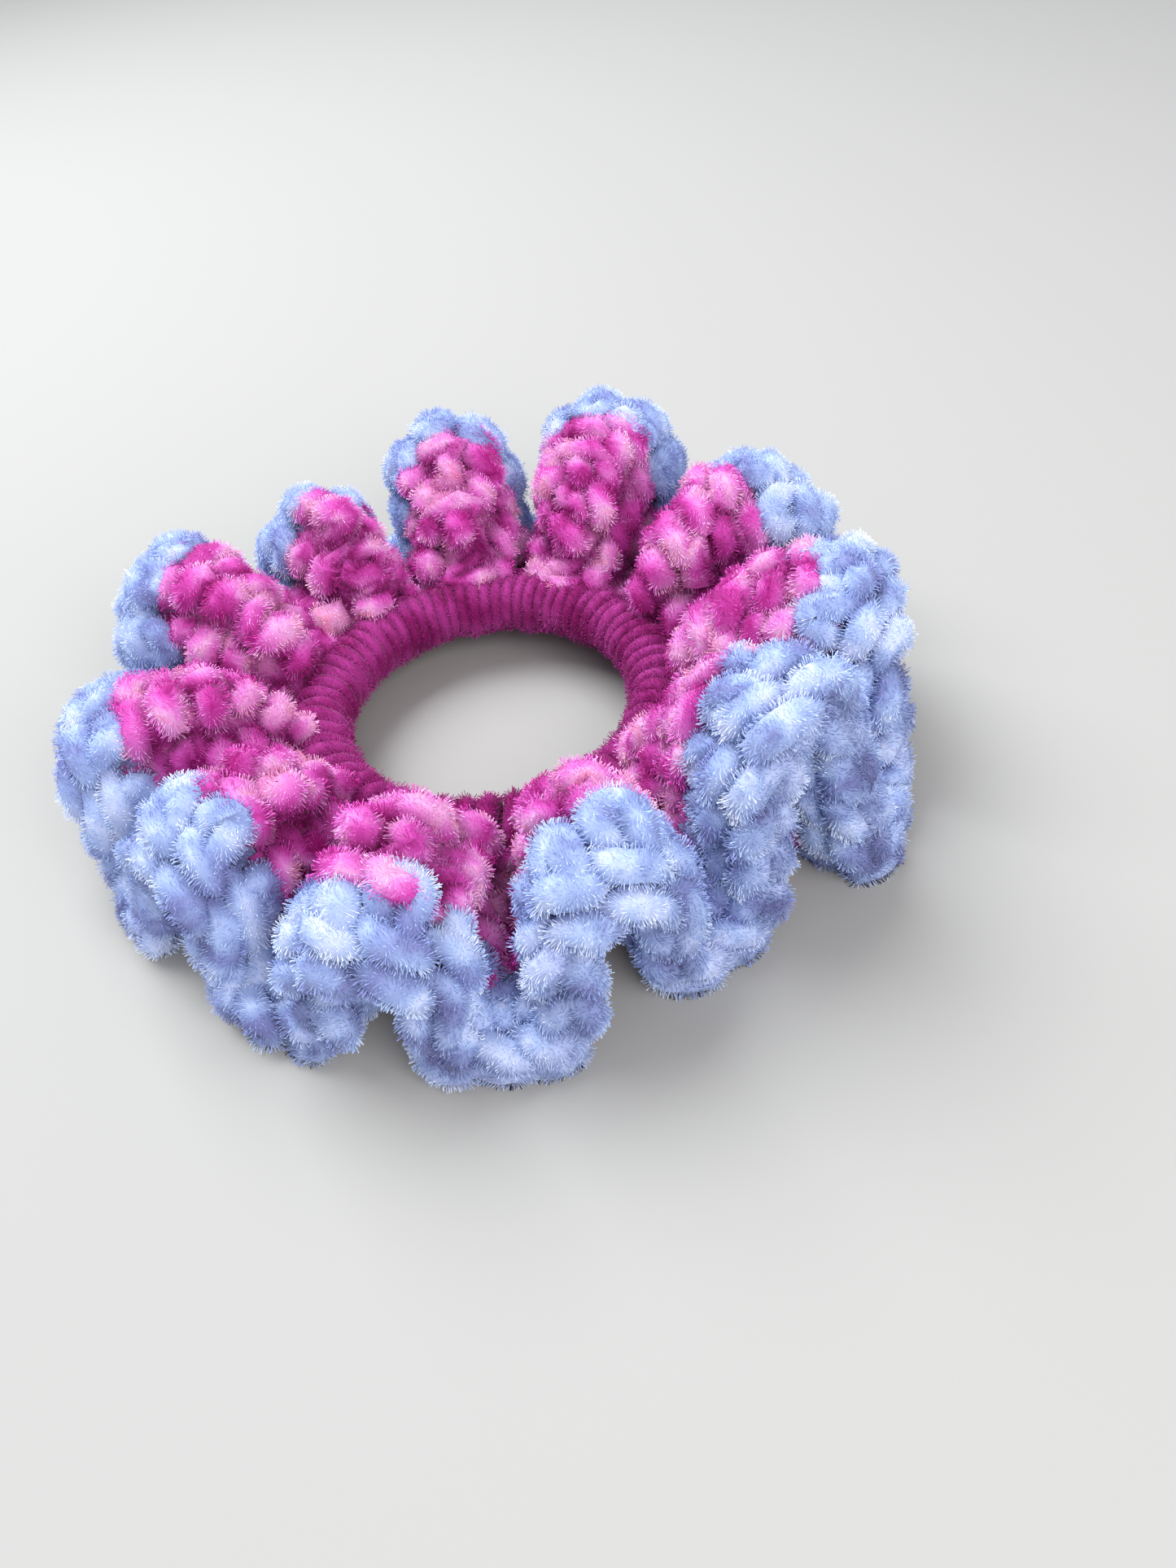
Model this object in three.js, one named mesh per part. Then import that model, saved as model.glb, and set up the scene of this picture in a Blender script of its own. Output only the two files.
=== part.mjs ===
import * as THREE from "three";
import { mergeVertices } from "three/addons/utils/BufferGeometryUtils.js";

// A crocheted scrunchie lying flat: a covered elastic ring wrapped in yarn, and a ruffle of
// tall stitches that stands up in folds round it, with an edging in a second yarn.
// Millimetres and degrees. +Z is up, and the scrunchie lies on Z = 0. Angles run
// counter-clockwise from +X, seen from above.

// Driving dimensions.
const clearance = 0.3; // between two pieces that touch
const roundClearance = 0.9; // between the tall stitches and the edging, whose meeting edge twists
const ringRadius = 25; // centre of the elastic cord to the middle of the hole
const ringHeight = 9; // centre of the elastic cord above the surface
const coreRadius = 1.5; // rubber core of the elastic
const sheathWall = 0.5; // knitted cover of the elastic
const jointLength = 2.4; // bonded joint between the elastic's two ends
const jointAngle = 196;
const wrapWall = 2; // yarn round the elastic, pressed flat
const wrapSectorCount = 12;
const ruffleThickness = 3.6; // body of the tall stitches, without their pile
const edgingThickness = 5.6;
const edgingWidth = 10.5; // edging, from the tall stitches to the rim
const crestRootAngle = 48; // where a crest leaves the wrap, above the horizontal
const crestRootSlope = 66; // how steeply it leaves
const crestRootPull = 18;
const valleyRootAngle = -30;
const valleyRootSlope = -25;
const valleyRootPull = 8;
const crestTipPull = 5;
const valleyTipPull = 14;
const valleyRimHeight = 2.6; // the rim's middle where it lies on the surface
const valleyDip = -1.1; // the fabric just inside the rim, against the rim
const foldFullness = 0.78; // 1 is an even wave; less makes wide folds with narrow valleys between them
const restingShare = 0.16; // share of a fold's height that is pressed flat at the surface

// The folds in order, counter-clockwise from the back. Reaches are radial, from the outside
// of the wrap to the rim; height is the rim's at the crest, and rise is how far the crest
// stands above its rim. Roundness over 1 makes a fold wider at its top than at its foot.
const folds = [
  { crest: 93, reach: 24.9, height: 22, rise: 6, roundness: 1.2, valley: 110, valleyReach: 25.6 },
  { crest: 123, reach: 21.4, height: 17, rise: 6, roundness: 1.1, valley: 136, valleyReach: 26.4 },
  { crest: 149, reach: 27.4, height: 19, rise: 6, roundness: 1.2, valley: 167, valleyReach: 30.2 },
  { crest: 187, reach: 26.4, height: 16, rise: 6, roundness: 1.2, valley: 206, valleyReach: 26.4 },
  { crest: 219, reach: 21.4, height: 18, rise: 6, roundness: 1.2, valley: 238, valleyReach: 25.4 },
  { crest: 254, reach: 23.4, height: 17, rise: 11, roundness: 1.3, valley: 269, valleyReach: 26.4 },
  { crest: 286, reach: 22.4, height: 20, rise: 8, roundness: 1.15, valley: 299, valleyReach: 22.4 },
  { crest: 318, reach: 22.4, height: 33, rise: 2, roundness: 1.15, valley: 329, valleyReach: 29.4 },
  { crest: 355, reach: 25.4, height: 23, rise: 6, roundness: 1.2, valley: 372, valleyReach: 30.2 },
  { crest: 388, reach: 26.4, height: 21, rise: 6, roundness: 1.2, valley: 406, valleyReach: 28.4 },
  { crest: 425, reach: 28.4, height: 23, rise: 6, roundness: 1.2, valley: 439, valleyReach: 25.4 },
];

const sectionSides = 8;
const ringSteps = 32;
const sectorSteps = 3;
const panelFacesAlong = 6; // the same in both yarns, so that their facing edges match
const ruffleFacesAcross = 5;
const edgingFacesAcross = 3;

// Sizes that follow from the ones above.
const sheathInner = coreRadius + clearance;
const sheathOuter = sheathInner + sheathWall;
const wrapInner = sheathOuter + clearance;
const wrapOuter = wrapInner + wrapWall;
const wrapReach = ringRadius + wrapOuter;
const rootTilt = THREE.MathUtils.degToRad(crestRootSlope - crestRootAngle);
const rootRadius = (wrapOuter + clearance) / Math.cos(rootTilt);
const knotCount = 2 * folds.length;

const materials = {
  rubber: new THREE.MeshStandardMaterial({ color: 0x2a2326, roughness: 0.7, metalness: 0 }),
  sheath: new THREE.MeshStandardMaterial({ color: 0x5a1236, roughness: 0.85, metalness: 0 }),
  adhesive: new THREE.MeshStandardMaterial({ color: 0xb9a68c, roughness: 0.5, metalness: 0 }),
  magenta: new THREE.MeshStandardMaterial({ color: 0xb32a73, roughness: 0.95, metalness: 0 }),
  lavender: new THREE.MeshStandardMaterial({ color: 0x9fa6d6, roughness: 0.95, metalness: 0 }),
};

const scrunchie = new THREE.Group();

function addPiece(name, geometry, material) {
  const mesh = new THREE.Mesh(geometry, material);
  mesh.name = name;
  scrunchie.add(mesh);
}

// An arc of the ring's centreline.
class RingArc extends THREE.Curve {
  constructor(fromAngle, toAngle) {
    super();
    this.from = THREE.MathUtils.degToRad(fromAngle);
    this.to = THREE.MathUtils.degToRad(toAngle);
  }

  getPoint(t, target = new THREE.Vector3()) {
    const angle = THREE.MathUtils.lerp(this.from, this.to, t);
    return target.set(ringRadius * Math.cos(angle), ringRadius * Math.sin(angle), ringHeight);
  }
}

function roundSection(radius) {
  const section = new THREE.Shape();
  for (let side = 0; side < sectionSides; side += 1) {
    const angle = (2 * Math.PI * side) / sectionSides;
    const x = radius * Math.cos(angle);
    const y = radius * Math.sin(angle);
    if (side === 0) section.moveTo(x, y);
    else section.lineTo(x, y);
  }
  section.closePath();
  return section;
}

// A cord or a tube along an arc of the ring.
function ringCord(outerRadius, innerRadius, fromAngle, toAngle, steps) {
  const section = roundSection(outerRadius);
  if (innerRadius > 0) section.holes.push(roundSection(innerRadius));
  return new THREE.ExtrudeGeometry(section, {
    steps,
    bevelEnabled: false,
    extrudePath: new RingArc(fromAngle, toAngle),
  });
}

// The angle at the ring's centre that spans a length on the cord.
function spanAngle(length) {
  return THREE.MathUtils.radToDeg(length / ringRadius);
}

function addElastic() {
  const halfJoint = spanAngle(jointLength / 2);
  const jointGap = spanAngle(clearance);
  const start = jointAngle + halfJoint + jointGap;
  const end = jointAngle - halfJoint - jointGap + 360;
  addPiece("elastic_core", ringCord(coreRadius, 0, start, end, ringSteps), materials.rubber);
  addPiece("elastic_sheath", ringCord(sheathOuter, sheathInner, start, end, ringSteps), materials.sheath);
  const joint = ringCord(sheathOuter, 0, jointAngle - halfJoint, jointAngle + halfJoint, 1);
  addPiece("elastic_joint", joint, materials.adhesive);
}

// The first round of stitches, wrapped round the elastic, in sectors.
function addWrap() {
  const sector = 360 / wrapSectorCount;
  const halfGap = spanAngle(clearance / 2) * (ringRadius / (ringRadius - wrapOuter));
  for (let k = 0; k < wrapSectorCount; k += 1) {
    const from = (k - 0.5) * sector + halfGap;
    const to = (k + 0.5) * sector - halfGap;
    const name = `wrap_${String(k + 1).padStart(2, "0")}`;
    addPiece(name, ringCord(wrapOuter, wrapInner, from, to, sectorSteps), materials.magenta);
  }
}

// Knots alternate crest and valley round the ruffle: knot 2k is the crest of fold k, and
// knot 2k + 1 the valley after it. Roots are evenly spaced, because the stitches are.
function knot(index) {
  const turn = Math.floor(index / knotCount);
  const place = index - turn * knotCount;
  const fold = folds[Math.floor(place / 2)];
  const isCrest = place % 2 === 0;
  return {
    rootAngle: folds[0].crest + (360 * index) / knotCount,
    rimAngle: (isCrest ? fold.crest : fold.valley) + 360 * turn,
    reach: isCrest ? fold.reach : fold.valleyReach,
    height: isCrest ? fold.height : valleyRimHeight,
    rise: isCrest ? fold.rise : valleyDip,
    roundness: fold.roundness,
    crestShare: isCrest ? 1 : 0,
  };
}

function polar(radius, degrees) {
  const angle = THREE.MathUtils.degToRad(degrees);
  return new THREE.Vector2(radius * Math.cos(angle), radius * Math.sin(angle));
}

// The fabric's middle between two knots, in a radial plane: from the wrap to the rim.
function profileAt(index, t) {
  const a = knot(index);
  const b = knot(index + 1);
  const eased = 0.5 - 0.5 * Math.cos(Math.PI * t);
  const crest = Math.pow(THREE.MathUtils.lerp(a.crestShare, b.crestShare, eased), foldFullness);
  const lifted = Math.max(0, crest - restingShare) / (1 - restingShare);
  const crestKnot = a.crestShare ? a : b;
  const root = polar(rootRadius, THREE.MathUtils.lerp(valleyRootAngle, crestRootAngle, crest));
  root.add(new THREE.Vector2(ringRadius, ringHeight));
  const rootPull = THREE.MathUtils.lerp(valleyRootPull, crestRootPull, crest);
  const slope = THREE.MathUtils.lerp(valleyRootSlope, crestRootSlope, crest);
  const rim = new THREE.Vector2(
    wrapReach + THREE.MathUtils.lerp(a.reach, b.reach, eased),
    THREE.MathUtils.lerp(valleyRimHeight, crestKnot.height, lifted),
  );
  const tipPull = THREE.MathUtils.lerp(valleyTipPull, crestTipPull, crest);
  const tip = new THREE.Vector2(rim.x - tipPull, rim.y + THREE.MathUtils.lerp(a.rise, b.rise, eased));
  const curve = new THREE.CubicBezierCurve(root, polar(rootPull, slope).add(root), tip, rim);
  const bulge = (THREE.MathUtils.lerp(a.roundness, b.roundness, t) * Math.sin(2 * Math.PI * t)) / (2 * Math.PI);
  return {
    curve,
    rootAngle: THREE.MathUtils.lerp(a.rootAngle, b.rootAngle, t),
    rimAngle: a.rimAngle + (b.rimAngle - a.rimAngle) * (t + bulge),
  };
}

// A point on the fabric's middle: share 0 is at the wrap and share 1 at the rim.
function pointOn(profile, share) {
  const flat = profile.curve.getPointAt(THREE.MathUtils.clamp(share, 0, 1));
  const angle = THREE.MathUtils.degToRad(THREE.MathUtils.lerp(profile.rootAngle, profile.rimAngle, share));
  return new THREE.Vector3(flat.x * Math.cos(angle), flat.x * Math.sin(angle), flat.y);
}

// The direction along the rim, and the one through the thickness.
function frameOn(index, t, share) {
  const step = 0.01;
  const before = profileAt(index, t - step);
  const after = profileAt(index, t + step);
  const along = pointOn(after, share).sub(pointOn(before, share));
  const here = profileAt(index, t);
  const low = Math.max(0, share - step);
  const high = Math.min(1, share + step);
  const across = pointOn(here, high).sub(pointOn(here, low));
  return { tangent: along.clone().normalize(), normal: along.cross(across).normalize() };
}

// One panel of fabric between a crest and the valley beside it. A box with enough faces is
// laid along the fabric's middle: its X runs along the rim, its Y out from the wrap, and its
// Z through the thickness.
function fabricPanel(index, band, facesAcross, thicknessAt) {
  const box = new THREE.BoxGeometry(1, 1, 1, panelFacesAlong, facesAcross, 1);
  box.deleteAttribute("normal");
  box.deleteAttribute("uv");
  const geometry = mergeVertices(box);
  const place = geometry.getAttribute("position");
  for (let i = 0; i < place.count; i += 1) {
    const alongShare = place.getX(i) + 0.5;
    const acrossShare = place.getY(i) + 0.5;
    const side = 2 * place.getZ(i);
    const profile = profileAt(index, alongShare);
    const limits = band(profile.curve.getLength());
    const share = THREE.MathUtils.lerp(limits.from, limits.to, acrossShare);
    const point = pointOn(profile, share);
    const { normal, tangent } = frameOn(index, alongShare, share);
    point.addScaledVector(tangent, (clearance / 2) * (1 - 2 * alongShare));
    point.addScaledVector(normal, (side * thicknessAt(acrossShare)) / 2);
    place.setXYZ(i, point.x, point.y, Math.max(0, point.z));
  }
  return geometry;
}

function ruffleBand(length) {
  return { from: 0, to: 1 - (edgingWidth + roundClearance) / length };
}

function edgingBand(length) {
  return { from: 1 - edgingWidth / length, to: 1 };
}

function addRuffle() {
  const evenThickness = () => ruffleThickness;
  const roundedThickness = (share) => edgingThickness * (1 - 0.6 * (2 * share - 1) ** 4);
  for (let index = 0; index < knotCount; index += 1) {
    const fallsFromCrest = index % 2 === 0;
    const fold = fallsFromCrest ? index / 2 : ((index + 1) / 2) % folds.length;
    const label = `fold_${String(fold + 1).padStart(2, "0")}`;
    const half = fallsFromCrest ? "fall" : "rise";
    const ruffle = fabricPanel(index, ruffleBand, ruffleFacesAcross, evenThickness);
    const edging = fabricPanel(index, edgingBand, edgingFacesAcross, roundedThickness);
    addPiece(`${label}_ruffle_${half}`, ruffle, materials.magenta);
    addPiece(`${label}_edging_${half}`, edging, materials.lavender);
  }
}

addElastic();
addWrap();
addRuffle();

export default scrunchie;
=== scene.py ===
import math
import random
from bisect import bisect_right

import bmesh
import bpy
from mathutils import Matrix, Vector
from mathutils.geometry import interpolate_bezier


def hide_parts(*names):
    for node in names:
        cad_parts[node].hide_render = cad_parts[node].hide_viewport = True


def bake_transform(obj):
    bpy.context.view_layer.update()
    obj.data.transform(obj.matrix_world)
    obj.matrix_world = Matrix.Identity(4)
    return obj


# A crocheted velvet scrunchie.

mm = 0.001
random.seed(11)

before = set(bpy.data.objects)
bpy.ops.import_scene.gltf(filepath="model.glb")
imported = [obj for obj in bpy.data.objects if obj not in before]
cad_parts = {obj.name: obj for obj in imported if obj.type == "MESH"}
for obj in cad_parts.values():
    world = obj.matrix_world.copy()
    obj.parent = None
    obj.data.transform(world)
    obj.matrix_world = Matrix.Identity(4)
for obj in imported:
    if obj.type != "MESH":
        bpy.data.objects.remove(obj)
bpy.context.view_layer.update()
scene = bpy.context.scene
print("frame loaded:", len(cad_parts), "nodes")


def lerp(a, b, t):
    return a + (b - a) * t


def link(name, data):
    holder = bpy.data.objects.new(name, data)
    scene.collection.objects.link(holder)
    return holder


def drop(holder):
    bpy.data.objects.remove(holder)


def addObject(name, shape):
    mesh = bpy.data.meshes.new(name)
    shape.to_mesh(mesh)
    shape.free()
    return link(name, mesh)


# camera, light and floor

view = {
    "place": (12.66, -126.79, 118.65),
    "pitch": 45.4,  # below the horizon
    "roll": 7.75,
    "lens": 26.15,
    "sensor": 36,
    "near": 10,
    "far": 50000,
}


def addCamera():
    camera = bpy.data.cameras.new("camera")
    camera.lens = view["lens"]
    camera.sensor_width = view["sensor"]
    camera.clip_start = view["near"] * mm
    camera.clip_end = view["far"] * mm
    pitch, roll = math.radians(view["pitch"]), math.radians(view["roll"])
    ahead = Vector((0, math.cos(pitch), -math.sin(pitch)))
    level = Vector((1, 0, 0))
    up = level.cross(ahead)
    right = level * math.cos(roll) - up * math.sin(roll)
    turned = Matrix((right, -ahead.cross(right), -ahead)).transposed().to_4x4()
    holder = link("camera", camera)
    holder.matrix_world = Matrix.Translation(Vector(view["place"]) * mm) @ turned
    scene.camera = holder


# power in watts; each light looks at the middle of the ring
lights = [
    {
        "name": "skyPanel",
        "place": (-260, 300, 620),
        "size": 620,
        "power": 10,
        "colour": (0.95, 0.98, 1.0),
    },
    {
        "name": "frontPanel",
        "place": (300, -520, 420),
        "size": 500,
        "power": 5,
        "colour": (1.0, 0.98, 0.96),
    },
]
sky = {"colour": (0.86, 0.88, 0.92, 1), "strength": 0.55}


def addLights():
    for light in lights:
        lamp = bpy.data.lights.new(light["name"], "AREA")
        lamp.size = light["size"] * mm
        lamp.energy = light["power"]
        lamp.color = light["colour"]
        place = Vector(light["place"]) * mm
        holder = link(light["name"], lamp)
        holder.location = place
        holder.rotation_euler = (-place).to_track_quat("-Z", "Y").to_euler()
    world = bpy.data.worlds.new("studio")
    world.use_nodes = True
    background = world.node_tree.nodes["Background"]
    background.inputs["Color"].default_value = sky["colour"]
    background.inputs["Strength"].default_value = sky["strength"]
    scene.world = world
    scene.view_settings.view_transform = "Standard"


paperSheet = {"halfWidth": 6000, "below": 0.1, "colour": (0.36, 0.355, 0.345, 1), "roughness": 0.9}


def addFloor():
    shape = bmesh.new()
    bmesh.ops.create_grid(shape, x_segments=1, y_segments=1, size=paperSheet["halfWidth"] * mm)
    bmesh.ops.translate(shape, verts=shape.verts, vec=(0, 0, -paperSheet["below"] * mm))
    floor = addObject("floor", shape)
    look = {"Base Color": paperSheet["colour"], "Roughness": paperSheet["roughness"]}
    floor.data.materials.append(newMaterial("palePaper", look))


def newMaterial(name, settings):
    material = bpy.data.materials.new(name)
    material.use_nodes = True
    shader = material.node_tree.nodes["Principled BSDF"]
    for socket, value in settings.items():
        shader.inputs[socket].default_value = value
    return material


# the ruffled fabric's middle surface, the same as the model's

ring = {"radius": 25, "height": 9, "core": 1.5, "sheathWall": 0.5, "wrapWall": 2, "gap": 0.3}
ring["sheath"] = ring["core"] + ring["gap"] + ring["sheathWall"]
ring["wrap"] = ring["sheath"] + ring["gap"] + ring["wrapWall"]

# rootAngle is where the fabric leaves the wrap, slope its direction there, and the pulls bend it
ruffle = {
    "crest": {"rootAngle": 48, "slope": 66, "rootPull": 18, "tipPull": 5},
    "valley": {
        "rootAngle": -30,
        "slope": -25,
        "rootPull": 8,
        "tipPull": 14,
        "height": 2.6,
        "rise": -1.1,
    },
    "fullness": 0.78,  # 1 is an even wave; less makes wide folds with narrow valleys
    "resting": 0.16,  # the share of a wave that lies at the valley's height
    "ribsPerKnot": 24,
    "stepsPerRib": 32,
}
ruffle["splay"] = ruffle["crest"]["slope"] - ruffle["crest"]["rootAngle"]
ruffle["rootRadius"] = (ring["wrap"] + ring["gap"]) / math.cos(math.radians(ruffle["splay"]))

# crest angle, reach, height, rise and roundness, then the angle and reach of the valley after it
folds = [
    (93, 24.9, 22, 6, 1.2, 110, 25.6),
    (123, 21.4, 17, 6, 1.1, 136, 26.4),
    (149, 27.4, 19, 6, 1.2, 167, 30.2),
    (187, 26.4, 16, 6, 1.2, 206, 26.4),
    (219, 21.4, 18, 6, 1.2, 238, 25.4),
    (254, 23.4, 17, 11, 1.3, 269, 26.4),
    (286, 22.4, 20, 8, 1.15, 299, 22.4),
    (318, 22.4, 33, 2, 1.15, 329, 29.4),
    (355, 25.4, 23, 6, 1.2, 372, 30.2),
    (388, 26.4, 21, 6, 1.2, 406, 28.4),
    (425, 28.4, 23, 6, 1.2, 439, 25.4),
]
knotCount = 2 * len(folds)


def knot(index):
    turn, place = divmod(index, knotCount)
    crest, reach, height, rise, roundness, valley, valleyReach = folds[place // 2]
    isCrest = place % 2 == 0
    low = ruffle["valley"]
    return {
        "root": folds[0][0] + 360 * index / knotCount,
        "rim": (crest if isCrest else valley) + 360 * turn,
        "reach": reach if isCrest else valleyReach,
        "height": height if isCrest else low["height"],
        "rise": rise if isCrest else low["rise"],
        "roundness": roundness,
        "crest": 1 if isCrest else 0,
    }


def polar(radius, degrees):
    angle = math.radians(degrees)
    return Vector((radius * math.cos(angle), radius * math.sin(angle), 0))


def ribAt(place):
    # the fabric's middle from the wrap to the rim, evenly spaced; whole places are crests and valleys
    index = math.floor(place)
    t = place - index
    a, b = knot(index), knot(index + 1)
    eased = 0.5 - 0.5 * math.cos(math.pi * t)
    crest = lerp(a["crest"], b["crest"], eased) ** ruffle["fullness"]
    lifted = max(0, crest - ruffle["resting"]) / (1 - ruffle["resting"])
    top = a if a["crest"] else b
    high, low = ruffle["crest"], ruffle["valley"]
    start = polar(ruffle["rootRadius"], lerp(low["rootAngle"], high["rootAngle"], crest))
    start += Vector((ring["radius"], ring["height"], 0))
    rootPull = lerp(low["rootPull"], high["rootPull"], crest)
    startPull = polar(rootPull, lerp(low["slope"], high["slope"], crest))
    rimRadius = ring["radius"] + ring["wrap"] + lerp(a["reach"], b["reach"], eased)
    rim = Vector((rimRadius, lerp(low["height"], top["height"], lifted), 0))
    tipPull = lerp(low["tipPull"], high["tipPull"], crest)
    tip = rim + Vector((-tipPull, lerp(a["rise"], b["rise"], eased), 0))
    steps = ruffle["stepsPerRib"]
    line = evenly(interpolate_bezier(start, start + startPull, tip, rim, 2 * steps), steps)
    bulge = lerp(a["roundness"], b["roundness"], t) * math.sin(2 * math.pi * t) / (2 * math.pi)
    rootAngle = lerp(a["root"], b["root"], t)
    rimAngle = lerp(a["rim"], b["rim"], t + bulge)
    rib = []
    for i, point in enumerate(line):
        flat = polar(point.x, lerp(rootAngle, rimAngle, i / steps))
        rib.append(Vector((flat.x, flat.y, point.y)))
    return rib


def evenly(line, steps):
    # the same line, in steps of one length
    lengths = [0]
    for a, b in zip(line, line[1:]):
        lengths.append(lengths[-1] + (b - a).length)
    points = []
    for i in range(steps + 1):
        want = lengths[-1] * i / steps
        k = min(len(line) - 2, max(0, bisect_right(lengths, want) - 1))
        share = (want - lengths[k]) / (lengths[k + 1] - lengths[k])
        points.append(line[k].lerp(line[k + 1], share))
    return points


ribCount = knotCount * ruffle["ribsPerKnot"]
ribs = [ribAt(i / ruffle["ribsPerKnot"]) for i in range(ribCount)]
ribLengths = [sum((b - a).length for a, b in zip(rib, rib[1:])) for rib in ribs]


def between(values, place):
    # a value at any place, from a list with one value for each rib
    where = place * ruffle["ribsPerKnot"]
    k = math.floor(where)
    return lerp(values[k % ribCount], values[(k + 1) % ribCount], where - k)


def middleAt(place, share):
    # a point on the fabric's middle, the direction out along the rib, and the fabric's normal
    steps = ruffle["stepsPerRib"]
    where = min(steps - 0.001, max(0, share * steps))
    k = math.floor(where)
    t = where - k
    column = place * ruffle["ribsPerKnot"]
    c = math.floor(column)
    left, right = ribs[c % ribCount], ribs[(c + 1) % ribCount]
    low = left[k].lerp(left[k + 1], t)
    high = right[k].lerp(right[k + 1], t)
    outward = left[k + 1] - left[k] + right[k + 1] - right[k]
    normal = (high - low).cross(outward).normalized()
    return low.lerp(high, column - c), outward.normalized(), normal


def onFabric(place, inside, height):
    # inside is the distance in from the rim, and height the distance off the fabric's middle
    length = between(ribLengths, place)
    point, outward, normal = middleAt(place, 1 - inside / length)
    point = point + outward * max(0, -inside) + normal * height
    if inside > length:  # past the foot of the stitches, towards the elastic
        centre = Vector((point.x, point.y, 0)).normalized() * ring["radius"]
        centre.z = ring["height"]
        point += (centre - point).normalized() * (inside - length)
    return point


# stitches are evenly spaced along the rim

stitches = {"count": 99}
rimLine = [0]
for i in range(ribCount):
    k = i - ruffle["ribsPerKnot"]
    rimLine.append(rimLine[-1] + (ribs[(k + 1) % ribCount][-1] - ribs[k % ribCount][-1]).length)
stitches["pitch"] = rimLine[-1] / stitches["count"]
print("rim length", round(rimLine[-1]), "mm, stitch pitch", round(stitches["pitch"], 2), "mm")


def placeOf(stitch):
    # the place on the fabric of a stitch number, which may be a fraction
    # stitch 0 starts in the valley before the first fold
    turn, rest = divmod(stitch, stitches["count"])
    want = rest * stitches["pitch"]
    k = min(ribCount - 1, bisect_right(rimLine, want) - 1)
    step = (want - rimLine[k]) / (rimLine[k + 1] - rimLine[k])
    return turn * knotCount + (k + step) / ruffle["ribsPerKnot"] - 1


def stitchesOf(fold):
    numbers = range(stitches["count"])
    return [stitch for stitch in numbers if (placeOf(stitch + 0.5) + 1) // 2 == fold]


def label(fold):
    return "fold_%02d" % (fold + 1)


def vary(amount):
    return random.uniform(-amount, amount)


def varied(size, share):
    return size * (1 + vary(share))


# yarn: a curve through the stitches' points, which becomes a mesh with pile on it

yarn = {
    "roundness": 1,  # six sides
    "steps": 3,  # from one point to the next
    "extra": 0.2,  # added to every radius
}


def newStrand(name):
    curve = bpy.data.curves.new(name, "CURVE")
    curve.dimensions = "3D"
    curve.bevel_depth = mm
    curve.bevel_resolution = yarn["roundness"]
    curve.resolution_u = yarn["steps"]
    curve.use_fill_caps = True
    return curve


def addRun(curve, points):
    # each point is a place in millimetres and the core's radius there
    spline = curve.splines.new("BEZIER")
    spline.bezier_points.add(len(points) - 1)
    for knotPoint, (place, radius) in zip(spline.bezier_points, points):
        knotPoint.co = place * mm
        knotPoint.radius = radius + yarn["extra"]
        knotPoint.handle_left_type = "AUTO"
        knotPoint.handle_right_type = "AUTO"


def meshOf(holder):
    bpy.context.view_layer.update()
    graph = bpy.context.evaluated_depsgraph_get()
    return bpy.data.meshes.new_from_object(holder.evaluated_get(graph))


# pile: slender fibres on the yarn's surface, by a geometry nodes modifier

pile = {
    "length": 0.9,
    "lengthRange": (0.75, 1.15),  # shares of the length
    "clumpSize": 2.2,
    "clumpNoise": (0.35, 0.65),
    "clumpLength": (0.75, 1.15),  # from clump to clump
    "foot": -0.08,  # of its length, sunk in the yarn
    "halfWidth": 0.06,
    "spacing": 0.285,
    "most": 16,  # fibres per square millimetre
    "inward": -0.1,  # fibres that face further into the fabric are left out
    "clearance": 0.1,  # where the search for a covering strand starts
    "flatten": 0.5,  # how far fibres on the crown lie down
    "tuft": 2.2,  # how far the fibres of a tuft lean together
    "tuftSize": 1.8,
    "stray": 0.2,  # how far each leans by itself
    "floor": 0.05,  # the lowest that a fibre reaches
}

# how light the yarn is: patches, streaks in them, and a little for each fibre and each side of one; also
# the painted shade at a fibre's foot and deep in the fabric
toneAndShade = {
    "patchSize": 5.5,
    "patchNoise": (0.38, 0.61),  # the noise's values that the patch's range is spread over
    "patch": (0.06, 0.95),
    "streakSize": 1.0,
    "streakNoise": (0.3, 0.7),
    "streak": 0.16,
    "fibre": 0.2,
    "side": 0.03,
    "foot": 0.38,  # painted shade: how light a fibre's foot is beside its tip
    "deepest": 0.25,  # painted shade: how light the pile is deep in the fabric
    "margin": 0.02,  # left unused at both ends of V
}


def feed(tree, socket, source):
    if isinstance(source, bpy.types.NodeSocket):
        tree.links.new(source, socket)
    elif source is not None:
        socket.default_value = source


def node(tree, kind, *sources, **settings):
    made = tree.nodes.new(kind)
    for name, value in settings.items():
        setattr(made, name, value)
    for socket, source in zip(made.inputs, sources):
        feed(tree, socket, source)
    return made


def calc(tree, operation, *sources):
    return node(tree, "ShaderNodeMath", *sources, operation=operation).outputs[0]


def vector(tree, operation, *sources):
    made = node(tree, "ShaderNodeVectorMath", *sources, operation=operation)
    return made.outputs["Value" if operation in ("DOT_PRODUCT", "LENGTH") else "Vector"]


def scaled(tree, source, factor):
    return node(tree, "ShaderNodeVectorMath", source, None, None, factor, operation="SCALE").outputs[0]


def ranged(tree, value, low, high, toLow=0.0, toHigh=1.0):
    return node(tree, "ShaderNodeMapRange", value, low, high, toLow, toHigh).outputs[0]


def anyOf(tree, low, high, seed):
    made = node(tree, "FunctionNodeRandomValue", None, None, low, high, data_type="FLOAT")
    made.inputs["Seed"].default_value = seed
    return made.outputs[1]


def anyDirection(tree):
    low, high = (-1, -1, -1), (1, 1, 1)
    return node(tree, "FunctionNodeRandomValue", low, high, data_type="FLOAT_VECTOR").outputs[0]


def noiseAt(tree, place, size, detail=1.0):
    made = node(tree, "ShaderNodeTexNoise", place)
    made.inputs["Scale"].default_value = 1 / (size * mm)
    made.inputs["Detail"].default_value = detail
    return made


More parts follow.
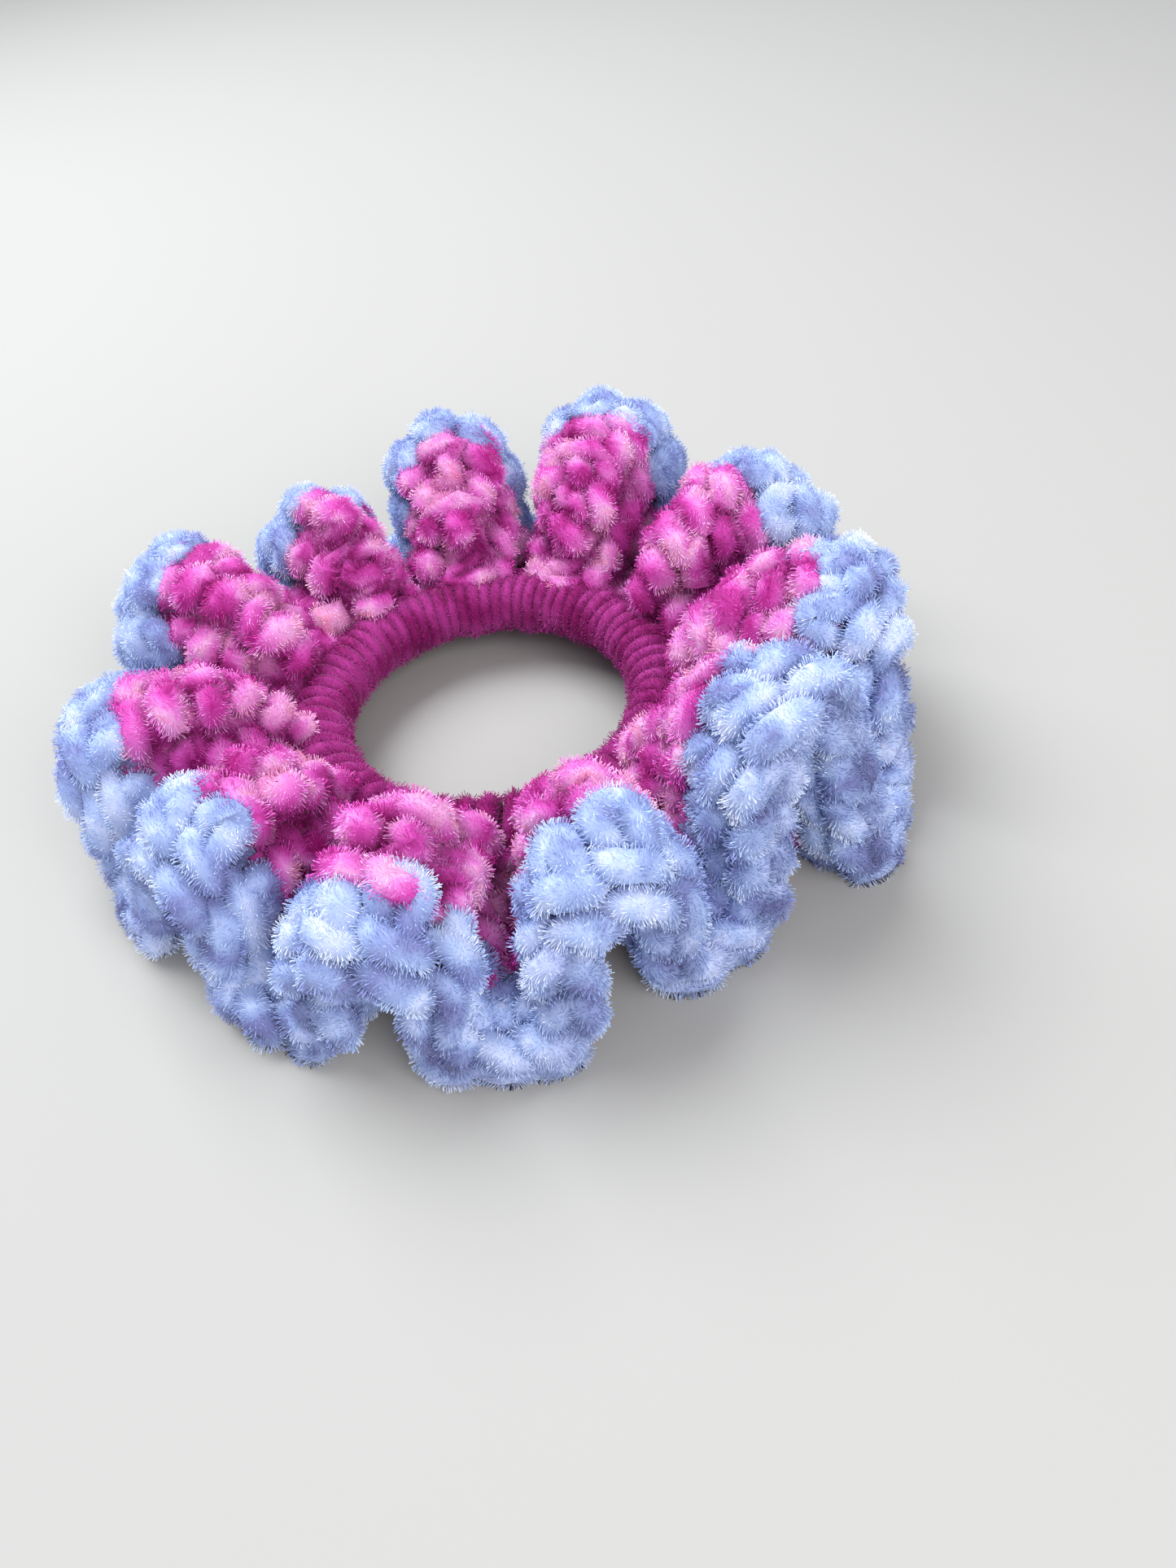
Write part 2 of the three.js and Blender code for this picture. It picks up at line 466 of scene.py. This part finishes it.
def stored(tree, geometry, name, value, kind="FLOAT", domain="POINT"):
    made = node(tree, "GeometryNodeStoreNamedAttribute", data_type=kind, domain=domain)
    feed(tree, made.inputs["Geometry"], geometry)
    made.inputs["Name"].default_value = name
    feed(tree, made.inputs["Value"], value)
    return made.outputs[0]


def named(tree, name):
    return node(tree, "GeometryNodeInputNamedAttribute", name, data_type="FLOAT").outputs[0]


def addFibre():
    # a blade of four faces, as wide at its tip as at its foot and a quarter turned between them
    shape = bmesh.new()
    bmesh.ops.create_cone(shape, segments=3, cap_ends=True, radius1=1, radius2=0, depth=1)
    tip = shape.verts.layers.float.new("tip")
    side = shape.verts.layers.float.new("side")
    for i, vert in enumerate(shape.verts):
        atTip, atRight = divmod(i, 2)
        vert[tip] = atTip
        vert[side] = 2 * atRight - 1
        across = pile["halfWidth"] * mm * vert[side]
        vert.co = (0, across, 1) if atTip else (across, 0, pile["foot"])
    bmesh.ops.recalc_face_normals(shape, faces=shape.faces)
    return addObject("fibre", shape)


def shapeOf(tree, holder):
    # another object's mesh
    return node(tree, "GeometryNodeObjectInfo", holder).outputs["Geometry"]


def leaning(tree, settings, place, normal, outward, facing):
    # each fibre leans off the crown of its strand, with its neighbours in a tuft
    cloud = noiseAt(tree, place, settings["tuftSize"]).outputs["Color"]
    tufts = scaled(tree, vector(tree, "SUBTRACT", cloud, (0.5, 0.5, 0.5)), settings["tuft"])
    onCrown = calc(tree, "MAXIMUM", facing, 0)
    pressed = scaled(tree, outward, calc(tree, "MULTIPLY", onCrown, -settings["flatten"]))
    lean = vector(tree, "ADD", tufts, scaled(tree, anyDirection(tree), settings["stray"]))
    return vector(tree, "ADD", vector(tree, "ADD", normal, pressed), lean)


def lengthOf(tree, settings, place):
    # by chance, and longer in some clumps than in others
    cloud = noiseAt(tree, place, settings["clumpSize"]).outputs["Fac"]
    clump = ranged(tree, cloud, *settings["clumpNoise"], *settings["clumpLength"])
    shortest, longest = [share * settings["length"] * mm for share in settings["lengthRange"]]
    return calc(tree, "MULTIPLY", anyOf(tree, shortest, longest, 4), clump)


def toneOf(tree, settings, place):
    cloud = noiseAt(tree, place, toneAndShade["patchSize"], 2.0).outputs["Fac"]
    patch = ranged(tree, cloud, *toneAndShade["patchNoise"], *toneAndShade["patch"])
    cloud = noiseAt(tree, place, toneAndShade["streakSize"]).outputs["Fac"]
    streak = ranged(tree, cloud, *toneAndShade["streakNoise"], -toneAndShade["streak"], toneAndShade["streak"])
    speck = anyOf(tree, -toneAndShade["fibre"], toneAndShade["fibre"], 5)
    mixed = calc(tree, "ADD", calc(tree, "ADD", patch, streak), speck)
    return ranged(tree, mixed, 0.0, 1.0, settings["shadeLow"], settings["shadeHigh"])


def paintSpot(tree):
    # the pile's colour runs along U from dark to light yarn, and along V from its foot to its tip; low V is
    # painted shade, at the foot and deep in the fabric
    nudge = calc(tree, "MULTIPLY", named(tree, "side"), toneAndShade["side"])
    u = calc(tree, "ADD", named(tree, "shade"), nudge)
    along = ranged(tree, named(tree, "tip"), 0.0, 1.0, toneAndShade["foot"], 1.0)
    v = calc(tree, "MULTIPLY", along, named(tree, "reach"))
    inset = ranged(tree, v, 0.0, 1.0, toneAndShade["margin"], 1 - toneAndShade["margin"])
    return node(tree, "ShaderNodeCombineXYZ", u, inset).outputs[0]


def keptUp(tree, geometry, place, floor):
    # nothing reaches below the surface that the scrunchie lies on
    split = node(tree, "ShaderNodeSeparateXYZ", place)
    lifted = calc(tree, "MAXIMUM", split.outputs["Z"], floor * mm)
    rested = node(tree, "ShaderNodeCombineXYZ", split.outputs["X"], split.outputs["Y"], lifted)
    return node(tree, "GeometryNodeSetPosition", geometry, None, rested.outputs[0]).outputs[0]


def pileTree(name, settings, guide, element, fibre, cover=None):
    # the guide is what the pile stands away from, and the cover is what may hide it
    tree = bpy.data.node_groups.new(name, "GeometryNodeTree")
    for way in ("INPUT", "OUTPUT"):
        tree.interface.new_socket("Geometry", in_out=way, socket_type="NodeSocketGeometry")
    strand = tree.nodes.new("NodeGroupInput").outputs[0]
    place = node(tree, "GeometryNodeInputPosition").outputs[0]

    scattered = node(tree, "GeometryNodeDistributePointsOnFaces", strand, distribute_method="POISSON")
    scattered.inputs["Distance Min"].default_value = settings["spacing"] * mm
    scattered.inputs["Density Max"].default_value = settings["most"] / mm**2
    normal = scattered.outputs["Normal"]
    nearest = node(tree, "GeometryNodeProximity", shapeOf(tree, guide), target_element=element)
    away = vector(tree, "SUBTRACT", place, nearest.outputs["Position"])
    outward = vector(tree, "NORMALIZE", away)
    facing = vector(tree, "DOT_PRODUCT", normal, outward)

    # fibres that point into the fabric, or that a neighbouring strand covers, are left out
    ray = node(tree, "GeometryNodeRaycast", shapeOf(tree, cover) if cover else strand)
    above = vector(tree, "ADD", place, scaled(tree, normal, settings["clearance"] * mm))
    feed(tree, ray.inputs["Source Position"], above)
    feed(tree, ray.inputs["Ray Direction"], normal)
    ray.inputs["Ray Length"].default_value = settings["covered"] * mm
    inward = calc(tree, "LESS_THAN", facing, settings["inward"])
    hidden = calc(tree, "MAXIMUM", inward, ray.outputs["Is Hit"])
    points = node(tree, "GeometryNodeDeleteGeometry", scattered.outputs["Points"], hidden).outputs[0]

    # what the colour needs is stored on the points and the strand while they know where they are
    shade = toneOf(tree, settings, place)
    # reach is painted shade: the pile is darker the nearer it lies to its guide
    distance = vector(tree, "LENGTH", away)
    reach = ranged(tree, distance, settings["deep"] * mm, settings["full"] * mm, toneAndShade["deepest"], 1.0)
    points = stored(tree, stored(tree, points, "shade", shade), "reach", reach)
    core = stored(tree, stored(tree, strand, "shade", shade), "reach", reach)
    # the strand itself gets the foot's colour: painted shade under the pile
    core = stored(tree, stored(tree, core, "tip", 0.0), "side", 0.0)

    spin = node(tree, "FunctionNodeAxisAngleToRotation", (0, 0, 1), anyOf(tree, 0, 2 * math.pi, 3))
    direction = leaning(tree, settings, place, normal, outward, facing)
    turned = node(tree, "FunctionNodeAlignRotationToVector", spin.outputs[0], 1, direction, axis="Z")
    size = node(tree, "ShaderNodeCombineXYZ", 1, 1, lengthOf(tree, settings, place))
    copies = node(tree, "GeometryNodeInstanceOnPoints", points, None, shapeOf(tree, fibre))
    feed(tree, copies.inputs["Rotation"], turned.outputs[0])
    feed(tree, copies.inputs["Scale"], size.outputs[0])
    fibres = node(tree, "GeometryNodeRealizeInstances", copies.outputs[0]).outputs[0]

    joined = node(tree, "GeometryNodeJoinGeometry")
    feed(tree, joined.inputs[0], core)
    feed(tree, joined.inputs[0], fibres)
    made = stored(tree, joined.outputs[0], "OFBake", paintSpot(tree), "FLOAT2", "CORNER")
    for spare in ("shade", "reach", "tip", "side"):
        made = node(tree, "GeometryNodeRemoveAttribute", made, spare).outputs[0]
    made = keptUp(tree, made, place, settings["floor"])
    feed(tree, node(tree, "NodeGroupOutput").inputs[0], made)
    return tree


cores = bmesh.new()  # all the strands without their pile


def withPile(name, shape, tree, material):
    # the finished piece: the strand, or the cloth, and its pile in one mesh
    core = link(name + "_core", shape)
    if isinstance(shape, bpy.types.Curve):
        mesh = meshOf(core)
        drop(core)
        core = link(name + "_core", mesh)
        cores.from_mesh(mesh)
    fur = core.modifiers.new("pile", "NODES")
    fur.node_group = tree
    mesh = meshOf(core)
    mesh.materials.clear()
    mesh.materials.append(material)
    piece = link(name, mesh)
    mesh.name = name
    drop(core)
    return piece


# materials: each yarn's colours run from its dark stretches to its light ones, and from a foot colour that
# is painted shade to its tip colour

magenta = {
    "tip": [
        (0.0, (0.52, 0.012, 0.27)),
        (0.35, (0.90, 0.12, 0.66)),
        (0.65, (0.98, 0.36, 0.90)),
        (0.88, (0.99, 0.70, 0.98)),
        (0.99, (0.98, 0.42, 0.56)),
    ],
    # the foot's colours are painted shade, deep in the pile
    "foot": [(0.0, (0.08, 0.001, 0.035)), (0.9, (0.40, 0.03, 0.25))],
    "sheen": (1.0, 0.75, 0.95, 1),
}
lavender = {
    "tip": [
        (0.0, (0.30, 0.33, 0.68)),
        (0.35, (0.40, 0.53, 0.88)),
        (0.65, (0.53, 0.67, 0.94)),
        (0.92, (0.76, 0.82, 0.96)),
    ],
    # the foot's colours are painted shade, deep in the pile
    "foot": [(0.0, (0.07, 0.07, 0.18)), (0.9, (0.26, 0.32, 0.60))],
    "sheen": (0.9, 0.95, 1.0, 1),
}
velvetFinish = {
    "Roughness": 0.8,
    "Sheen Weight": 0.15,
    "Sheen Roughness": 0.4,
    "Specular IOR Level": 0.12,
}
footShadeDepth = 0.75  # below 1, the foot's painted shade fades sooner along a fibre


def colourRamp(tree, source, stops):
    ramp = node(tree, "ShaderNodeValToRGB", source)
    elements = ramp.color_ramp.elements
    while len(elements) < len(stops):
        elements.new(0.5)
    for element, (place, colour) in zip(elements, stops):
        element.position = place
        element.color = (*colour, 1)
    return ramp.outputs["Color"]


def velvet(name, look):
    material = newMaterial(name, {**velvetFinish, "Sheen Tint": look["sheen"]})
    tree = material.node_tree
    shader = tree.nodes["Principled BSDF"]
    spot = node(tree, "ShaderNodeUVMap", uv_map="OFBake").outputs[0]
    split = node(tree, "ShaderNodeSeparateXYZ", spot)
    tip = colourRamp(tree, split.outputs["X"], look["tip"])
    # the foot ramp is painted shade, mixed away towards the tip along V
    foot = colourRamp(tree, split.outputs["X"], look["foot"])
    along = calc(tree, "POWER", split.outputs["Y"], footShadeDepth)
    # a mix of colours has its two colours at inputs 6 and 7 and gives them at output 2
    mixed = node(tree, "ShaderNodeMix", along, None, None, None, None, None, foot, tip, data_type="RGBA")
    tree.links.new(mixed.outputs[2], shader.inputs["Base Color"])
    return material


def addRelief(tree, height, strength, depth):
    relief = node(tree, "ShaderNodeBump")
    relief.inputs["Strength"].default_value = strength
    relief.inputs["Distance"].default_value = depth * mm
    feed(tree, relief.inputs["Height"], height)
    tree.links.new(relief.outputs[0], tree.nodes["Principled BSDF"].inputs["Normal"])


rubber = {
    "name": "rubber",
    "dark": (0.018, 0.016, 0.02),
    "light": (0.05, 0.045, 0.05),
    "roughness": 0.65,
    "size": 1.2,
}
adhesive = {
    "name": "adhesive",
    "dark": (0.42, 0.32, 0.2),
    "light": (0.6, 0.5, 0.36),
    "roughness": 0.4,
    "size": 0.8,
}
mottling = {"detail": 4.0, "dark": 0.3, "light": 0.7, "strength": 0.3, "depth": 0.05}


def mottled(look):
    material = newMaterial(look["name"], {"Roughness": look["roughness"]})
    tree = material.node_tree
    place = node(tree, "ShaderNodeTexCoord").outputs["Object"]
    cloud = noiseAt(tree, place, look["size"], mottling["detail"]).outputs["Fac"]
    stops = [(mottling["dark"], look["dark"]), (mottling["light"], look["light"])]
    colour = colourRamp(tree, cloud, stops)
    tree.links.new(colour, tree.nodes["Principled BSDF"].inputs["Base Color"])
    addRelief(tree, cloud, mottling["strength"], mottling["depth"])
    return material


knit = {
    "alongRing": 120.0,  # radians of wave for each radian round the ring
    "roundTube": 9.0,
    "gap": -0.2,  # below this a wave is the gap between two threads
    "dark": (0.03, 0.002, 0.012),
    "light": (0.2, 0.012, 0.09),
    "strength": 0.6,
    "depth": 0.1,
}


def knitted():
    # crossed threads: waves that run round the tube and along the ring
    material = newMaterial("sheathKnit", {"Roughness": 0.85, "Sheen Weight": 0.2})
    tree = material.node_tree
    place = node(tree, "ShaderNodeTexCoord").outputs["Object"]
    split = node(tree, "ShaderNodeSeparateXYZ", place)
    x, y, z = split.outputs
    flat = node(tree, "ShaderNodeCombineXYZ", x, y, 0.0).outputs[0]
    out = calc(tree, "SUBTRACT", vector(tree, "LENGTH", flat), ring["radius"] * mm)
    up = calc(tree, "SUBTRACT", z, ring["height"] * mm)
    along = calc(tree, "MULTIPLY", calc(tree, "ARCTAN2", y, x), knit["alongRing"])
    across = calc(tree, "MULTIPLY", calc(tree, "ARCTAN2", up, out), knit["roundTube"])
    left = calc(tree, "SINE", calc(tree, "ADD", along, across))
    right = calc(tree, "SINE", calc(tree, "SUBTRACT", along, across))
    threads = ranged(tree, calc(tree, "MAXIMUM", left, right), knit["gap"], 1.0)
    colour = colourRamp(tree, threads, [(0.0, knit["dark"]), (0.9, knit["light"])])
    tree.links.new(colour, tree.nodes["Principled BSDF"].inputs["Base Color"])
    addRelief(tree, threads, knit["strength"], knit["depth"])
    return material


magentaVelvet = velvet("magentaVelvet", magenta)
lavenderVelvet = velvet("lavenderVelvet", lavender)


# guides: the fabric's middle and the ring's centre line, which the pile stands away from

seam = 0.01  # points nearer than this are one point


def ruffleSheet(name, span, columns, rows):
    # a grid laid on the fabric's middle: X runs along the rim, and Y in from the span's start to its
    # end or to past the foot of the stitches
    shape = bmesh.new()
    bmesh.ops.create_grid(shape, x_segments=columns, y_segments=rows, size=0.5)
    for vert in shape.verts:
        place = (vert.co.x + 0.5) * knotCount
        length = between(ribLengths, place)
        deepest = span["end"] if "end" in span else length + span["pastFoot"]
        vert.co = onFabric(place, lerp(deepest, span["start"], vert.co.y + 0.5), 0) * mm
    bmesh.ops.remove_doubles(shape, verts=shape.verts, dist=seam * mm)
    bmesh.ops.recalc_face_normals(shape, faces=shape.faces)
    return addObject(name, shape)


def ringLine(steps):
    shape = bmesh.new()
    bmesh.ops.create_circle(shape, segments=steps, radius=ring["radius"] * mm)
    bmesh.ops.translate(shape, verts=shape.verts, vec=(0, 0, ring["height"] * mm))
    return addObject("ringLine", shape)


guides = {"columns": knotCount * 16, "rows": 24, "ringSteps": 96}
wholeFabric = {"start": 0, "pastFoot": 0}
fabricGuide = ruffleSheet("fabricGuide", wholeFabric, guides["columns"], guides["rows"])
ringGuide = ringLine(guides["ringSteps"])
fibre = addFibre()
pieces = []


def follow(piece, slot, *nodes):
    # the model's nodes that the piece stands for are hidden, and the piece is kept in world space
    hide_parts(*nodes)
    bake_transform(piece)
    pieces.append(piece)
    print(piece.name, len(piece.data.polygons), "faces")


# tall magenta stitches

tall = {
    "turn": 4.5,  # down the fabric, for a crown on each face
    "sway": 0.3,  # in stitch widths
    "leastSway": 1.5,
    "depth": 1.6,
    "radius": 2.0,
    "leaf": 2.1,  # half the length of a crown
    "lean": 45,
    "start": 10.4,
    "root": -0.5,  # how far above the foot a post ends; below 0 it goes past the foot
    "short": 0.75,  # how far down every second stitch goes
    "neckDown": 0.8,  # shares of the leaf
    "endDown": 0.6,
    "neck": 0.6,  # shares of the radius
    "shoulder": 0.9,
}

# how much one crown differs from the next: shares of a size, or its own unit where noted
loose = {
    "start": 0.8,  # millimetres
    "depth": 0.35,
    "secondDepth": 0.2,
    "radius": 0.2,
    "lean": 40,  # degrees
    "leaf": 0.4,
    "middle": 0.12,  # stitch widths
    "turn": 0.2,
}


def tallStitch(stitch):
    # a post of yarn that winds down the fabric from the edging to the wrap
    length = between(ribLengths, placeOf(stitch + 0.5))
    end = length * tall["short"] if stitch % 2 else length - tall["root"]
    points = []
    inside = tall["start"] + vary(loose["start"])
    side = random.choice((-1, 1))
    while inside < end:
        width = (onFabric(placeOf(stitch + 1), inside, 0) - onFabric(placeOf(stitch), inside, 0)).length
        depth = varied(side * tall["depth"], loose["depth"])
        radius = varied(tall["radius"], loose["radius"])
        lean = math.radians(side * tall["lean"] + vary(loose["lean"]))
        leaf = varied(tall["leaf"], loose["leaf"])
        middle = vary(loose["middle"])
        along, down = leaf * math.sin(lean) / width, leaf * math.cos(lean)
        sway = side * max(tall["sway"], tall["leastSway"] / width)
        secondDepth = varied(depth, loose["secondDepth"])
        bends = (
            (sway, -tall["neckDown"] * down, 0, tall["neck"]),
            (middle - along, -tall["endDown"] * down, depth, tall["shoulder"]),
            (middle + along, tall["endDown"] * down, secondDepth, 1.0),
        )
        for sideways, deeper, height, share in bends:
            place = placeOf(stitch + 0.5 + sideways)
            points.append((onFabric(place, inside + deeper, height), radius * share))
        inside += varied(tall["turn"] / 2, loose["turn"])
        side = -side
    return points


def addFolds(kind, tree, material, slot, windFold):
    # one piece for each fold of the ruffle
    made = []
    for fold in range(len(folds)):
        curve = newStrand(kind)
        windFold(curve, stitchesOf(fold))
        name = label(fold) + "_" + kind
        piece = withPile(name, curve, tree, material)
        follow(piece, slot, name + "_rise", name + "_fall")
        made.append(piece)
    return made


def windRuffle(curve, numbers):
    for stitch in numbers:
        addRun(curve, tallStitch(stitch))


# lavender edging: for each point, stitch widths along the rim, then millimetres in from it and
# off the fabric's middle, and the radius

edging = {
    "long": 1.07,  # every second stitch's loops reach further in
    "short": 0.93,
    "loopStart": 6,  # millimetres in
    "varyAlong": 0.06,  # stitch widths
    "varyInside": 0.45,  # millimetres
    "varyHeight": 0.2,
    "varyRadius": 0.14,
}
chain = [
    (0.02, 2.6, 0.5, 0.90),
    (0.38, 1.5, 2.0, 2.10),
    (0.86, 0.2, 1.6, 2.10),
    (1.22, -0.2, 0.0, 1.10),
    (0.86, 0.2, -1.6, 2.10),
    (0.38, 1.5, -2.0, 2.10),
    (0.02, 2.6, -0.5, 0.90),
    (0.50, 3.4, 0.0, 0.90),
]
leg = [
    (0.10, 3.6, 1.0, 1.00),
    (0.26, 6.2, 2.2, 1.80),
    (0.35, 8.6, 2.1, 2.15),
    (0.55, 9.9, 1.8, 2.15),
    (0.75, 8.6, 2.1, 2.15),
    (0.70, 6.8, 1.0, 1.60),
    (0.55, 6.6, 0.0, 1.10),
    (0.40, 6.8, -1.0, 1.60),
    (0.35, 8.6, -2.1, 2.15),
    (0.55, 9.9, -1.8, 2.15),
    (0.75, 8.6, -2.1, 2.15),
    (0.80, 6.2, -2.2, 1.80),
    (0.98, 3.6, -1.0, 1.00),
]
yarnOver = [
    (0.00, 6.4, 1.4, 0.90),
    (0.36, 5.4, 2.7, 2.05),
    (0.80, 4.4, 2.4, 2.05),
    (1.12, 4.0, 0.0, 0.90),
    (0.80, 4.4, -2.4, 2.05),
    (0.36, 5.4, -2.7, 2.05),
    (0.00, 6.4, -1.4, 0.90),
]


def edgingStitch(stitch, path):
    points = []
    reach = edging["long"] if stitch % 2 else edging["short"]
    for along, inside, height, radius in path:
        place = placeOf(stitch + along + vary(edging["varyAlong"]))
        deep = inside * (reach if inside > edging["loopStart"] else 1) + vary(edging["varyInside"])
        point = onFabric(place, deep, varied(height, edging["varyHeight"]))
        points.append((point, varied(radius, edging["varyRadius"])))
    return points


def windEdging(curve, numbers):
    run = []
    for stitch in numbers:
        run += edgingStitch(stitch, chain)
        addRun(curve, edgingStitch(stitch, leg))
        addRun(curve, edgingStitch(stitch, yarnOver))
    addRun(curve, run)


# the first round, wrapped over the elastic

wrap = {
    "turns": 62,
    "swing": 0.3,  # the wraps are closer at the back
    "spread": 0.6,  # how much of the swing goes into the yarn's width
    "centre": 3.35,
    "radius": 1.05,
    "pointsPerTurn": 8,
    "sectors": 12,
    "varyCentre": 0.22,  # millimetres
    "varyRadius": 0.16,
}


def addWrap(tree):
    curve = newStrand("wrap")
    count = wrap["turns"] * wrap["pointsPerTurn"]
    points = []
    for i in range(count + 1):
        theta = 2 * math.pi * i / count
        bunched = theta - wrap["swing"] * math.cos(theta)
        phase = wrap["turns"] * bunched
        spread = 1 - wrap["swing"] * math.sin(theta) * wrap["spread"]
        out = wrap["centre"] + vary(wrap["varyCentre"])
        across = ring["radius"] + out * math.cos(phase)
        height = ring["height"] + out * math.sin(phase)
        place = Vector((across * math.cos(theta), across * math.sin(theta), height))
        points.append((place, varied(wrap["radius"] * spread, wrap["varyRadius"])))
    addRun(curve, points)
    piece = withPile("wrap_yarn", curve, tree, magentaVelvet)
    follow(piece, "magenta_chenille", *["wrap_%02d" % (k + 1) for k in range(wrap["sectors"])])
    return piece


# the elastic inside the wrap

elastic = {
    "joint": 2.4,
    "jointAngle": 196,
    "coreSides": 16,
    "sides": 20,
    "steps": 96,
    "jointSteps": 6,
}


def ringTube(name, outer, inner, fromAngle, toAngle, sides, steps):
    # a tube swept round the ring: its section is turned about the ring's axis
    shape = bmesh.new()
    bmesh.ops.create_circle(shape, segments=sides, radius=outer * mm, cap_ends=inner == 0)
    if inner:
        bmesh.ops.create_circle(shape, segments=sides, radius=inner * mm)
        bmesh.ops.bridge_loops(shape, edges=shape.edges[:])
    upright = Matrix.Translation((ring["radius"] * mm, 0, 0)) @ Matrix.Rotation(math.pi / 2, 4, "X")
    bmesh.ops.transform(shape, matrix=upright, verts=shape.verts)
    toStart = Matrix.Rotation(math.radians(fromAngle), 3, "Z")
    bmesh.ops.rotate(shape, cent=(0, 0, 0), matrix=toStart, verts=shape.verts)
    section = shape.verts[:] + shape.edges[:] + shape.faces[:]
    sweep = math.radians(toAngle - fromAngle)
    bmesh.ops.spin(shape, geom=section, cent=(0, 0, 0), axis=(0, 0, 1), angle=sweep, steps=steps)
    bmesh.ops.translate(shape, verts=shape.verts, vec=(0, 0, ring["height"] * mm))
    bmesh.ops.recalc_face_normals(shape, faces=shape.faces)
    return addObject(name, shape)


def addElastic():
    middle, sides, steps = elastic["jointAngle"], elastic["sides"], elastic["steps"]
    half = math.degrees(elastic["joint"] / 2 / ring["radius"])
    gap = math.degrees(ring["gap"] / ring["radius"])
    start = middle + half + gap
    end = middle - half - gap + 360
    core = ringTube("elasticCore", ring["core"], 0, start, end, elastic["coreSides"], steps)
    core.data.materials.append(mottled(rubber))
    follow(core, "core_rubber", "elastic_core")
    sheath = ringTube("elasticSheath", ring["sheath"], ring["core"] + ring["gap"], start, end, sides, steps)
    sheath.data.materials.append(knitted())
    follow(sheath, "knitted_sheath", "elastic_sheath")
    start, end = middle - half, middle + half
    joint = ringTube("elasticJoint", ring["sheath"], 0, start, end, sides, elastic["jointSteps"])
    joint.data.materials.append(mottled(adhesive))
    follow(joint, "joint_adhesive", "elastic_joint")


# the fabric's body between the stitches: a cloth that fills the gaps, painted dark with shade as it lies
# deep

cloth = {"thickness": 0.9, "columns": knotCount * 12}
ruffleCloth = {"name": "ruffle_ground", "rows": 10, "start": 10.5, "pastFoot": 2.5}
edgingCloth = {"name": "edging_ground", "rows": 4, "start": 2.2, "end": 10.3}


def addGround(span, tree, material, slot):
    name = span["name"]
    sheet = ruffleSheet(name + "_cloth", span, cloth["columns"], span["rows"])
    wall = sheet.modifiers.new("wall", "SOLIDIFY")
    wall.thickness = cloth["thickness"] * mm
    wall.offset = 0
    mesh = meshOf(sheet)
    area = sum(face.area for face in mesh.polygons) / 2
    drop(sheet)
    piece = withPile(name, mesh, tree, material)
    print(name, "area", round(area, 5), "m2")
    follow(piece, slot)
    return piece


# put together: deep and full are how far out of the fabric the pile runs from painted shade to its own
# colour

addCamera()
addLights()
addFloor()
print("camera, lights and floor in place")

ruffleLook = dict(pile, covered=1.6, deep=1.9, full=4.0, shadeLow=0.0, shadeHigh=0.97)
edgingLook = dict(pile, covered=1.6, deep=1.7, full=3.8, shadeLow=0.0, shadeHigh=0.95)
# the wrap is darker: its tones stop low, and its painted shade reaches further out
wrapLook = dict(pile, covered=1.2, deep=4.1, full=7.2, shadeLow=0.0, shadeHigh=0.26, length=0.8)
# the ground lies deep in the fabric, so its pile is mostly painted shade
groundLook = dict(pile, covered=2.4, deep=1.6, full=4.0, shadeLow=0.0, shadeHigh=0.9, length=1.4)
groundLook["spacing"] = 0.36

rufflePile = pileTree("rufflePile", ruffleLook, fabricGuide, "FACES", fibre)
tallPieces = addFolds("ruffle", rufflePile, magentaVelvet, "magenta_chenille", windRuffle)
edgingPile = pileTree("edgingPile", edgingLook, fabricGuide, "FACES", fibre)
edgingPieces = addFolds("edging", edgingPile, lavenderVelvet, "lavender_chenille", windEdging)
wrapPiece = addWrap(pileTree("wrapPile", wrapLook, ringGuide, "EDGES", fibre))
addElastic()

cover = addObject("cover", cores)
groundPile = pileTree("groundPile", groundLook, fabricGuide, "FACES", fibre, cover)
ruffleGround = addGround(ruffleCloth, groundPile, magentaVelvet, "magenta_chenille")
edgingGround = addGround(edgingCloth, groundPile, lavenderVelvet, "lavender_chenille")
for spare in (fabricGuide, ringGuide, fibre, cover):
    drop(spare)
print(len(pieces), "pieces made")

triangles = 0
for piece in pieces:
    triangles += sum(len(polygon.vertices) - 2 for polygon in piece.data.polygons)
print("triangles", triangles)
